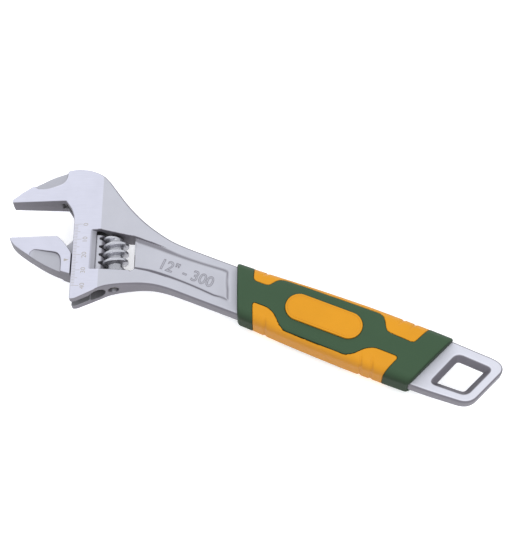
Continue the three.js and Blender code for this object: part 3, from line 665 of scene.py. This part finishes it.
# Steel inside the grip with a little room round it.
def tangField(x, y, z):
    rise = y - head["offset"]
    inside = bodyOutline(x * cosHead + rise * sinHead, x * sinHead - rise * cosHead)
    return np.maximum(inside, np.abs(z) - head["shankHalf"]) - 0.2


# First moulding: a tube round the steel, the side panels out to the grip's form, and both badges.
def coreField(x, y, z, grow=0.0):
    section, ends = gripForm(x, y, z)
    tube = np.maximum(section + grip["skin"], ends + 12)
    panels = np.minimum(upperPanel(x, y), lowerPanel(x, y))
    notch = 0
    for place, sideSign in fingerGrooves:
        lean = x - place - slant * (sideSign * y - 16) * 0.9
        fade = easeStep(sideSign * y, 9.5, 15.5)
        notch = notch + 0.65 * np.exp(-(lean / 0.8)**2) * fade
    outer = section + grip["yellowDrop"] + notch
    panels = keepBoth(keepBoth(panels, outer, grip["edge"]), -(section + grip["skin"] + 1), 0)
    stadium = badgeDistance(x, y)
    top = grip["badgeTop"] - grip["badgeSink"] * easeStep(-stadium, grip["badgeRim"], grip["badgeRim"] + 0.5)
    badge = keepBoth(stadium, np.abs(z) - top, grip["edge"])
    badge = np.maximum(badge, grip["halfHeight"] - grip["skin"] - 1.5 - np.abs(z))
    solid = np.minimum(np.minimum(tube, panels), badge) - grow
    return np.maximum(solid, -tangField(x, y, z) - grow)


# Second moulding: the grip's form with rounded ends, less the first moulding and the steel.
def sleeveField(x, y, z):
    section, ends = gripForm(x, y, z)
    solid = keepBoth(section, ends, grip["endRound"])
    core = coreSolid(x, y, z)
    return takeOut(takeOut(solid, core, grip["edge"]), tangField(x, y, z), 0.3)


# Room for the first moulding in the sleeve: the same tube, panels and badges without their surface detail.
def coreSolid(x, y, z):
    section, ends = gripForm(x, y, z)
    tube = np.maximum(section + grip["skin"], ends + 12)
    panels = np.minimum(upperPanel(x, y), lowerPanel(x, y))
    stadium = badgeDistance(x, y)
    return np.minimum(np.minimum(tube, panels), stadium) - 0.06


print("grip")
coreGap, sleeveGap = grip["coreGrid"], grip["sleeveGrid"]
coreAxes = (gridLine((112, 231, coreGap)), gridLine((-19.5, 19.5, coreGap)), gridLine((-13.2, 13.2, coreGap)))
points, faces, normals = netSurface(coreField, coreAxes, fromHandle, False, 2)
corePiece = addPiece("grip_yellow_core", points, faces, "frame", ["grip_core"], normals)
sleeveAxes = (gridLine((102.5, 238, sleeveGap)), gridLine((-19.5, 19.5, sleeveGap)),
              gridLine((-13.1, 13.1, sleeveGap)))
points, faces, normals = netSurface(sleeveField, sleeveAxes, fromHandle, False, 2)
sleevePiece = addPiece("grip_green_sleeve", points, faces, "frame", ["grip_sleeve"], normals)

scale = {
    "zeroDown": 16.0,
    "length": 40,
    "tickWidth": 0.22,
    "short": 2.7,
    "middle": 4.2,
    "long": 5.3,
    "start": 0.75,
    "proud": 0.012,
    "sunk": 0.05,
    "digitHeight": 2.7,
    "digitBase": 8.5,
    "digitType": 1.45,        # type size over digit height
    "digitHalf": 0.03,        # half thickness of a digit
    "digitShift": 0.3,
}


# Boxes between two opposite plan corners on the wedge-shaped face, from just under it to just above it.
def faceBoxes(low, high):
    share = np.array([[0, 0, 0], [1, 0, 0], [1, 1, 0], [0, 1, 0], [0, 0, 1], [1, 0, 1], [1, 1, 1], [0, 1, 1]])
    plan = low[:, None, :] + share[None, :, :2] * (high - low)[:, None, :]
    lift = np.where(share[None, :, 2] > 0, scale["proud"], -scale["sunk"])
    height = halfThickness(plan[:, :, 0]) + lift
    points = np.concatenate([plan, height[:, :, None]], axis=2).reshape(-1, 3)
    sides = np.array([[0, 3, 2, 1], [4, 5, 6, 7], [0, 1, 5, 4], [1, 2, 6, 5], [2, 3, 7, 6], [3, 0, 4, 7]])
    faces = (np.arange(len(low))[:, None, None] * 8 + sides).reshape(-1, 4)
    return points, faces[:, ::-1]


# A text or its outline as triangles, with points that share a place welded, in the text's own x, y and z.
def textMesh(words, size, extrude=0.0, outline=0.0):
    curve = bpy.data.curves.new("words", "FONT")
    curve.body = words
    curve.size = size
    curve.align_x, curve.align_y = "CENTER", "BOTTOM_BASELINE"
    curve.extrude = extrude
    curve.resolution_u = 6
    if outline:
        curve.fill_mode = "NONE"
        curve.bevel_depth = outline
        curve.bevel_resolution = 2
    holder = bpy.data.objects.new("words", curve)
    bpy.context.scene.collection.objects.link(holder)
    mesh = bpy.data.meshes.new_from_object(holder.evaluated_get(bpy.context.evaluated_depsgraph_get()))
    mesh.calc_loop_triangles()
    points = np.zeros(len(mesh.vertices) * 3)
    mesh.vertices.foreach_get("co", points)
    faces = np.zeros(len(mesh.loop_triangles) * 3, np.int32)
    mesh.loop_triangles.foreach_get("vertices", faces)
    bpy.data.objects.remove(holder)
    bpy.data.curves.remove(curve)
    bpy.data.meshes.remove(mesh)
    places, which = np.unique(points.reshape(-1, 3).round(4), axis=0, return_inverse=True)
    faces = which.reshape(-1)[faces].reshape(-1, 3)
    real = (faces != np.roll(faces, 1, axis=1)).all(axis=1)
    return places, faces[real]


print("marks")
mark = np.arange(scale["length"] + 1)
reach = np.where(mark % 10 == 0, scale["long"], np.where(mark % 5 == 0, scale["middle"], scale["short"]))
tickDown = scale["zeroDown"] + mark
low = np.stack([np.full(len(mark), scale["start"]), tickDown - scale["tickWidth"] / 2], axis=1)
high = np.stack([reach, tickDown + scale["tickWidth"] / 2], axis=1)
points, faces = faceBoxes(low, high)
tickPiece = addPiece("opening_scale_ticks", fromHead(points), faces, "frame", [])
tickPiece.data.polygons.foreach_set("use_smooth", np.zeros(len(faces), bool))
digitPoints, digitFaces, used = [], [], 0
for number in range(0, scale["length"] + 1, 10):
    letters, triangles = textMesh(str(number), scale["digitHeight"] * scale["digitType"],
                                  scale["digitHalf"])
    along = scale["digitBase"] - letters[:, 1]
    place = np.stack([along, scale["zeroDown"] + number + scale["digitShift"] - letters[:, 0],
                      halfThickness(along) + scale["proud"] + letters[:, 2] - scale["digitHalf"]], axis=1)
    digitPoints.append(place)
    digitFaces.append(triangles + used)
    used += len(place)
digits = addPiece("opening_scale_digits", fromHead(np.vstack(digitPoints)), np.vstack(digitFaces), "frame",
                  [])
digits.data.polygons.foreach_set("use_smooth", np.zeros(len(digits.data.polygons), bool))
sizeText = {"words": '12" - 300', "size": 9.5, "outline": 0.2, "middle": 79.3, "base": -3.6, "narrow": 0.97}
letters, triangles = textMesh(sizeText["words"], sizeText["size"], 0.0, sizeText["outline"])
place = np.stack([sizeText["middle"] + letters[:, 0] * sizeText["narrow"], sizeText["base"] + letters[:, 1],
                  body["panelFloor"] + letters[:, 2]], axis=1)
sizeMark = addPiece("raised_size_mark", fromHandle(place), triangles, "frame", [])
pointerPlan = np.array([[-1.4, 39.2], [-4.4, 38.3], [-4.4, 40.1]])
pointerTop = np.column_stack([pointerPlan, halfThickness(pointerPlan[:, 0]) + scale["proud"]])
pointerLow = pointerTop - np.array([0, 0, scale["sunk"]])
pointerFaces = np.array([[0, 2, 1], [3, 4, 5], [0, 1, 4], [0, 4, 3],
                         [1, 2, 5], [1, 5, 4], [2, 0, 3], [2, 3, 5]])
pointer = addPiece("jaw_pointer", fromHead(np.vstack([pointerTop, pointerLow])), pointerFaces,
                   "jaw", [])
pointer.data.polygons.foreach_set("use_smooth", np.zeros(len(pointerFaces), bool))


# ---- materials ----

# A socket that takes part in sums: each operator adds one Math node to its material.
class Value:
    def __init__(self, paint, socket):
        self.paint, self.socket = paint, socket

    def sum(self, operation, one, two=0.0):
        return self.paint.node("ShaderNodeMath", {"operation": operation}, {0: one, 1: two})

    def __add__(self, other):
        return self.sum("ADD", self, other)

    def __sub__(self, other):
        return self.sum("SUBTRACT", self, other)

    def __rsub__(self, other):
        return self.sum("SUBTRACT", other, self)

    def __mul__(self, other):
        return self.sum("MULTIPLY", self, other)

    __radd__ = __add__
    __rmul__ = __mul__

    def absolute(self):
        return self.sum("ABSOLUTE", self)

    def atLeast(self, other):
        return self.sum("MAXIMUM", self, other)

    # 0 below low, 1 above high, with a smooth passage
    def ease(self, low, high):
        settings = {"interpolation_type": "SMOOTHSTEP"}
        return self.paint.node("ShaderNodeMapRange", settings, {0: self, 1: low, 2: high})


# A material with its shader; its node method makes every other node.
class Paint:
    def __init__(self, name, **constants):
        self.material = bpy.data.materials.new(name)
        self.material.use_nodes = True
        self.tree = self.material.node_tree
        self.shader = self.tree.nodes["Principled BSDF"]
        for socket, value in constants.items():
            self.shader.inputs[socket].default_value = value

    def node(self, kind, settings, inputs, output=0):
        made = self.tree.nodes.new(kind)
        for setting, value in settings.items():
            setattr(made, setting, value)
        for socket, value in inputs.items():
            if isinstance(value, Value):
                self.tree.links.new(value.socket, made.inputs[socket])
            else:
                made.inputs[socket].default_value = value
        return Value(self, made.outputs[output])

    def feed(self, socket, value):
        self.tree.links.new(value.socket, self.shader.inputs[socket])

    def place(self):
        return self.node("ShaderNodeTexCoord", {}, {}, 3)

    # distances in millimetres along the head's own directions, from the head's origin
    def headPlace(self):
        turn = (0, 0, -math.atan2(downWay[0], -downWay[1]))
        move = tuple(-headOrigin / 1000)
        moved = self.node("ShaderNodeVectorMath", {"operation": "ADD"}, {0: self.place(), 1: move})
        turned = self.node("ShaderNodeMapping", {}, {"Vector": moved, "Rotation": turn,
                                                     "Scale": (1000, 1000, 1000)})
        parts = self.node("ShaderNodeSeparateXYZ", {}, {0: turned})
        outs = parts.socket.node.outputs
        return Value(self, outs[0]), Value(self, outs[1]) * -1, Value(self, outs[2]), turned

    def noise(self, vector, scale, detail=2.0, roughness=0.5):
        return self.node("ShaderNodeTexNoise", {}, {"Vector": vector, "Scale": scale, "Detail": detail,
                                                    "Roughness": roughness})

    def stretched(self, vector, factors):
        return self.node("ShaderNodeVectorMath", {"operation": "MULTIPLY"}, {0: vector, 1: factors})

    def mix(self, share, one, two):
        colours = {0: share, 6: (*one, 1) if isinstance(one, tuple) else one,
                   7: (*two, 1) if isinstance(two, tuple) else two}
        return self.node("ShaderNodeMix", {"data_type": "RGBA"}, colours, 2)

    def bump(self, height, strength, distance):
        inputs = {"Height": height, "Strength": strength, "Distance": distance}
        self.feed("Normal", self.node("ShaderNodeBump", {}, inputs))

    def normalPart(self, part):
        normal = self.node("ShaderNodeNewGeometry", {}, {}, 1)
        parts = self.node("ShaderNodeSeparateXYZ", {}, {0: normal})
        return Value(self, parts.socket.node.outputs[part])


finish = {
    "ground": (0.62, 0.62, 0.70),
    "blasted": (0.53, 0.53, 0.57),
    # painted shade: the tone of upright walls, darker because of how light falls on them
    "wall": (0.175, 0.165, 0.185),
    # painted shade: the nearly black tone inside the bores and the slot
    "inside": (0.15, 0.147, 0.15),
    "worm": (0.55, 0.55, 0.58),
    # painted shade: the tone of the worm thread's roots
    "wormRootShade": (0.42, 0.42, 0.44),
    "pin": (0.10, 0.095, 0.09),
    "mark": (0.36, 0.325, 0.28),
    "green": (0.041, 0.085, 0.041),
    # painted shade: the green plastic's tone on its sides
    "greenSideShade": (0.007, 0.024, 0.006),
    "yellow": (0.71, 0.30, 0.008),
    # painted shade: the yellow plastic's tone on its sides
    "yellowSideShade": (0.46, 0.185, 0.003),
}


# Where the steel's finish, its painted shade and its painted light change: millimetres in the head's
# directions, or the normal's upright share.
shading = {
    "faceLevel": (0.84, 0.985),
    "windowLevel": (0.6, 0.7),
    "windowLeft": (14.4, 14.8),
    "sunkDepth": (0.5, 0.9),
    "groundEnd": (16.0, 16.5),
    "tabPaintedLight": (150, 215),
    "recessShadeEnd": (-2, 3),
    "boreShade": (4.95, 5.2),
    "slotHalf": (3.0, 3.2),
    "slotFar": (13, 14),
    "slotNear": (-9.5, -8.5),
}


# Forged steel: ground and brushed along the jaws in front of the ridge, blasted behind it and in the
# recesses. Painted shade darkens upright walls and sunk surfaces towards the jaw tips and makes the
# bores and the slot nearly black; painted light makes the faces towards the hanging tab lighter.
def steelPaint(name, boreShadeShare):
    paint = Paint(name, Metallic=0.55, Roughness=0.4)
    along, down, height, turned = paint.headPlace()
    high = height.absolute()
    level = paint.normalPart(2).absolute()
    slope = level.ease(*shading["windowLevel"]) * (1 - along.ease(*shading["windowLeft"])) * 0.75
    facing = level.ease(*shading["faceLevel"]).atLeast(slope)
    face = along * wedge + (head["ridgeHalf"] - wedge * head["ridge"])
    sunk = (face - high).ease(*shading["sunkDepth"])
    ground = (1 - along.ease(*shading["groundEnd"])) * facing * (1 - sunk)
    brushed = paint.noise(paint.stretched(turned, (0.05, 1.6, 1.6)), 1.0, 4.0, 0.65)
    grain = paint.noise(turned, 3.2, 3.0, 0.6)
    cloud = paint.noise(turned, 0.11, 2.0, 0.5)
    tone = paint.mix(ground, finish["blasted"], finish["ground"])
    # painted shade: upright walls take the darker wall tone, sloped faces in front of the window's left wall
    # only a quarter of it
    tone = paint.mix(1 - facing, tone, finish["wall"])
    speckle = grain * 0.16 + 0.92
    streak = brushed * 0.14 + 0.93
    shade = (speckle + (streak - speckle) * ground) * (cloud * 0.1 + 0.95)
    # painted light: faces towards the hanging tab, from along 150 on, are made up to 30% lighter
    shade = shade * (along.ease(*shading["tabPaintedLight"]) * facing * 0.3 + 1)
    # painted shade: recess floors and other sunk surfaces towards the jaw tips are 16% darker
    shade = shade * (1 - sunk * (1 - along.ease(*shading["recessShadeEnd"])) * 0.16)
    scaled = paint.node("ShaderNodeVectorMath", {"operation": "SCALE"}, {0: tone, 3: shade})
    # painted shade: nearly black inside the barrel's bore and the slot, on the forging only
    boreAway = paint.node("ShaderNodeVectorMath", {"operation": "LENGTH"}, {0: paint.node(
        "ShaderNodeCombineXYZ", {}, {0: along - body["barrelAlong"], 1: height})}, 1)
    deepShade = (1 - boreAway.ease(*shading["boreShade"])) * down.ease(-2, -1)
    slotShade = (1 - along.ease(*shading["slotFar"])) * along.ease(*shading["slotNear"])
    deepShade = deepShade.atLeast((1 - high.ease(*shading["slotHalf"])) * slotShade)
    paint.feed("Base Color", paint.mix(deepShade * boreShadeShare, scaled, finish["inside"]))
    paint.feed("Roughness", 0.46 - ground * 0.12 + grain * 0.08)
    paint.bump(grain * (1 - ground) + brushed * ground * 0.5, 0.35, 0.00008)
    return paint


bodySteel = steelPaint("forged steel", 1.0)
wrenchBody.data.materials.append(bodySteel.material)
reliefSteel = Paint("relief steel", Metallic=0.5, Roughness=0.45)
reliefGrain = reliefSteel.noise(reliefSteel.place(), 1200.0, 3.0)
reliefSteel.feed("Base Color", reliefSteel.mix(reliefGrain, (0.20, 0.19, 0.21), (0.34, 0.33, 0.36)))
sizeMark.data.materials.append(reliefSteel.material)
jawSteel = steelPaint("jaw steel", 0.0)
movingJaw.data.materials.append(jawSteel.material)

wormSteel = Paint("worm steel", Metallic=0.9, Roughness=0.25)
wormAlong, wormDown, wormHeight, wormTurned = wormSteel.headPlace()
wormAway = wormSteel.node("ShaderNodeVectorMath", {"operation": "LENGTH"}, {0: wormSteel.node(
    "ShaderNodeCombineXYZ", {}, {0: wormAlong - head["wormAlong"], 1: wormHeight})}, 1)
polish = wormSteel.noise(wormTurned, 1.4, 3.0)
# painted shade: the thread's roots, inside radius 4.8 to 5.6, take a darker tone than its crests
wormTone = wormSteel.mix(wormAway.ease(4.8, 5.6), finish["wormRootShade"], finish["worm"])
wormSteel.feed("Base Color", wormTone)
wormSteel.feed("Roughness", polish * 0.15 + 0.2)
wormSteel.bump(polish, 0.1, 0.00001)
wormPiece.data.materials.append(wormSteel.material)

pinSteel = Paint("pin steel", Metallic=0.9, Roughness=0.4)
pinGrain = pinSteel.noise(pinSteel.place(), 900.0, 3.0)
pinSteel.feed("Base Color", pinSteel.mix(pinGrain, finish["pin"], (0.2, 0.19, 0.18)))
pinSteel.bump(pinGrain, 0.2, 0.0001)
pinPiece.data.materials.append(pinSteel.material)
springPiece.data.materials.append(pinSteel.material)

markInk = Paint("laser mark", Metallic=0.2, Roughness=0.6)
markGrain = markInk.noise(markInk.place(), 1500.0, 2.0)
markInk.feed("Base Color", markInk.mix(markGrain, finish["mark"], (0.46, 0.43, 0.40)))
for piece in (tickPiece, digits, pointer):
    piece.data.materials.append(markInk.material)


# Moulded plastic: a fine spark-eroded grain, slow colour drift, and painted shade where the form turns down.
def plasticPaint(name, light, sideShadeTone, roughness):
    paint = Paint(name)
    paint.shader.inputs["Specular IOR Level"].default_value = 0.25
    place = paint.place()
    grain = paint.noise(place, 2600.0, 2.0, 0.6)
    cloud = paint.noise(place, 60.0, 3.0, 0.5)
    # painted shade: faces turned away from upright take the darker side tone
    flat = paint.normalPart(2).absolute().ease(0.25, 0.98)
    tone = paint.mix(flat, sideShadeTone, light)
    shade = cloud * 0.14 + grain * 0.10 + 0.88
    paint.feed("Base Color", paint.node("ShaderNodeVectorMath", {"operation": "SCALE"}, {0: tone, 3: shade}))
    paint.feed("Roughness", grain * 0.12 + (roughness - 0.06))
    paint.bump(grain, 0.25, 0.00006)
    return paint


greenPlastic = plasticPaint("green elastomer", finish["green"], finish["greenSideShade"], 0.62)
yellowPlastic = plasticPaint("yellow polypropylene", finish["yellow"], finish["yellowSideShade"], 0.5)
sleevePiece.data.materials.append(greenPlastic.material)
corePiece.data.materials.append(yellowPlastic.material)

# ---- stage, light and camera ----

print("stage")
stage = {"size": 6.0, "glow": 0.4, "floor": (0.93, 0.93, 0.93), "world": 1.05}
lowest = cadBox[0].z
edge = stage["size"] / 2
floorMesh = bpy.data.meshes.new("floor")
floorCorners = [(-edge, -edge, lowest), (edge, -edge, lowest), (edge, edge, lowest), (-edge, edge, lowest)]
floorMesh.from_pydata(floorCorners, [], [(0, 1, 2, 3)])
floor = bpy.data.objects.new("floor", floorMesh)
bpy.context.scene.collection.objects.link(floor)
floorPaint = Paint("floor", Roughness=0.9)
floorPaint.shader.inputs["Emission Color"].default_value = (1, 1, 1, 1)
floorPaint.shader.inputs["Emission Strength"].default_value = stage["glow"]
floorNoise = floorPaint.noise(floorPaint.place(), 3.0)
floorPaint.feed("Base Color", floorPaint.mix(floorNoise, stage["floor"], (0.95, 0.95, 0.95)))
floor.data.materials.append(floorPaint.material)

world = bpy.data.worlds.new("studio")
world.use_nodes = True
world.node_tree.nodes["Background"].inputs[0].default_value = (0.93, 0.95, 1.0, 1)
world.node_tree.nodes["Background"].inputs[1].default_value = stage["world"]
bpy.context.scene.world = world
lights = {
    "overhead": {"place": (0.5, -0.5, 1.4), "turn": (0.35, 0.35, 0.0), "size": 0.9, "power": 4.0},
    "side": {"place": (-1.2, 0.9, 0.7), "turn": (-0.85, -0.75, 0.0), "size": 0.5, "power": 3.0},
}
for name, light in lights.items():
    lamp = bpy.data.lights.new(name, "AREA")
    lamp.size = light["size"]
    lamp.energy = light["power"]
    holder = bpy.data.objects.new(name, lamp)
    holder.location = light["place"]
    holder.rotation_euler = light["turn"]
    bpy.context.scene.collection.objects.link(holder)

view = {
    "place": (0.130811, -0.273234, 0.667723),
    "turn": (25.8152, 0.7218, 22.6432),     # degrees
    "lens": 81.395,
    "sensor": 36.0,
}
camera = bpy.data.cameras.new("camera")
camera.sensor_fit = "AUTO"
camera.sensor_width = view["sensor"]
camera.lens = view["lens"]
camera.clip_start, camera.clip_end = 0.01, 20
cameraHolder = bpy.data.objects.new("camera", camera)
cameraHolder.location = view["place"]
cameraHolder.rotation_euler = [math.radians(turn) for turn in view["turn"]]
bpy.context.scene.collection.objects.link(cameraHolder)
bpy.context.scene.camera = cameraHolder
bpy.context.scene.view_settings.view_transform = "Standard"
